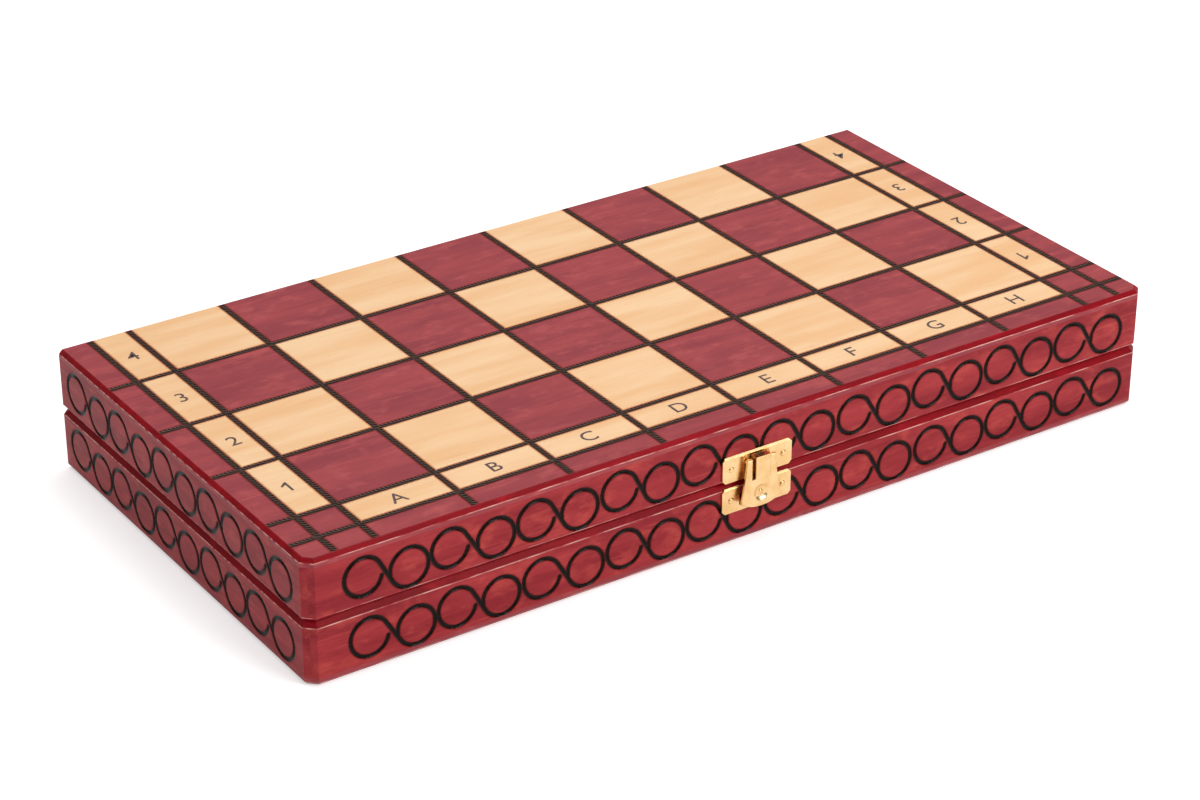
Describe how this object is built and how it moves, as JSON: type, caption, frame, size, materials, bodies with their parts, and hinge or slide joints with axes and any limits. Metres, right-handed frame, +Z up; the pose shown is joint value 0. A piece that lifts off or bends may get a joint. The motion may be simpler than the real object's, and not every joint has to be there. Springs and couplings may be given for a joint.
{
  "type": "folding chess set",
  "caption": "Folding wooden chess case with hinged halves, a board on the outside, a brass draw latch and chessmen in inserts.",
  "frame": {"origin": "centre of the face that the closed case rests on", "axes": "+X along the long side to the right, +Y towards the hinges, +Z up; the latch is at -Y"},
  "size_m": [0.35, 0.1825, 0.047],
  "materials": {
    "light_beech": "turned, sealed and lacquered",
    "dark_stained_beech": "turned, stained and lacquered",
    "board_ply": "stained, burnt and lacquered",
    "stained_rail": "stained, burnt and lacquered",
    "flocked_insert": "flocked",
    "steel_screw": "plated",
    "steel_pin": "plated",
    "brass_fixing": "plated",
    "brass_latch": "brass plated, bright",
    "brass_hinge": "brass plated"
  },
  "bodies": {
    "lower_half": {"latch_base_nails": "brass_fixing", "latch_base_plate": "brass_latch", "latch_lever_rivets": "brass_fixing", "left_hinge_lower_leaf": "brass_hinge", "left_hinge_pin": "steel_pin", "light_bishop_1": "light_beech", "light_bishop_2": "light_beech", "light_king": "light_beech", "light_knight_1": "light_beech", "light_knight_2": "light_beech", "light_pawn_1": "light_beech", "light_pawn_2": "light_beech", "light_pawn_3": "light_beech", "light_pawn_4": "light_beech", "light_pawn_5": "light_beech", "light_pawn_6": "light_beech", "light_pawn_7": "light_beech", "light_pawn_8": "light_beech", "light_queen": "light_beech", "light_rook_1": "light_beech", "light_rook_2": "light_beech", "lower_board_panel": "board_ply", "lower_front_rail": "stained_rail", "lower_hinge_screws": "steel_screw", "lower_insert": "flocked_insert", "lower_left_rail": "stained_rail", "lower_rear_rail": "stained_rail", "lower_right_rail": "stained_rail", "right_hinge_lower_leaf": "brass_hinge", "right_hinge_pin": "steel_pin"},
    "upper_half": {"dark_bishop_1": "dark_stained_beech", "dark_bishop_2": "dark_stained_beech", "dark_king": "dark_stained_beech", "dark_knight_1": "dark_stained_beech", "dark_knight_2": "dark_stained_beech", "dark_pawn_1": "dark_stained_beech", "dark_pawn_2": "dark_stained_beech", "dark_pawn_3": "dark_stained_beech", "dark_pawn_4": "dark_stained_beech", "dark_pawn_5": "dark_stained_beech", "dark_pawn_6": "dark_stained_beech", "dark_pawn_7": "dark_stained_beech", "dark_pawn_8": "dark_stained_beech", "dark_queen": "dark_stained_beech", "dark_rook_1": "dark_stained_beech", "dark_rook_2": "dark_stained_beech", "latch_catch_nails": "brass_fixing", "latch_catch_plate": "brass_latch", "left_hinge_upper_leaf": "brass_hinge", "right_hinge_upper_leaf": "brass_hinge", "upper_board_panel": "board_ply", "upper_front_rail": "stained_rail", "upper_hinge_screws": "steel_screw", "upper_insert": "flocked_insert", "upper_left_rail": "stained_rail", "upper_rear_rail": "stained_rail", "upper_right_rail": "stained_rail"},
    "latch_lever": {"latch_lever": "brass_latch", "latch_link_pin": "brass_fixing"},
    "latch_link": {"latch_link": "brass_latch"}
  },
  "joints": [
    {"name": "case_hinge", "type": "hinge", "parent": "lower_half", "child": "upper_half", "pos_m": [0, 0.08775, 0.0235], "axis": [-1, 0, 0], "range_deg": [0, 180]},
    {"name": "latch_lever_pivot", "type": "hinge", "parent": "lower_half", "child": "latch_lever", "pos_m": [0, -0.0895, 0.0313], "axis": [-1, 0, 0], "range_deg": [0, 85]},
    {"name": "latch_link_pivot", "type": "hinge", "parent": "latch_lever", "child": "latch_link", "pos_m": [0, -0.0894, 0.0236], "axis": [-1, 0, 0], "range_deg": [-23, 0]}
  ],
  "couplings": [
    {"joint": "latch_link_pivot", "follows": "latch_lever_pivot", "ratio": -0.27}
  ]
}
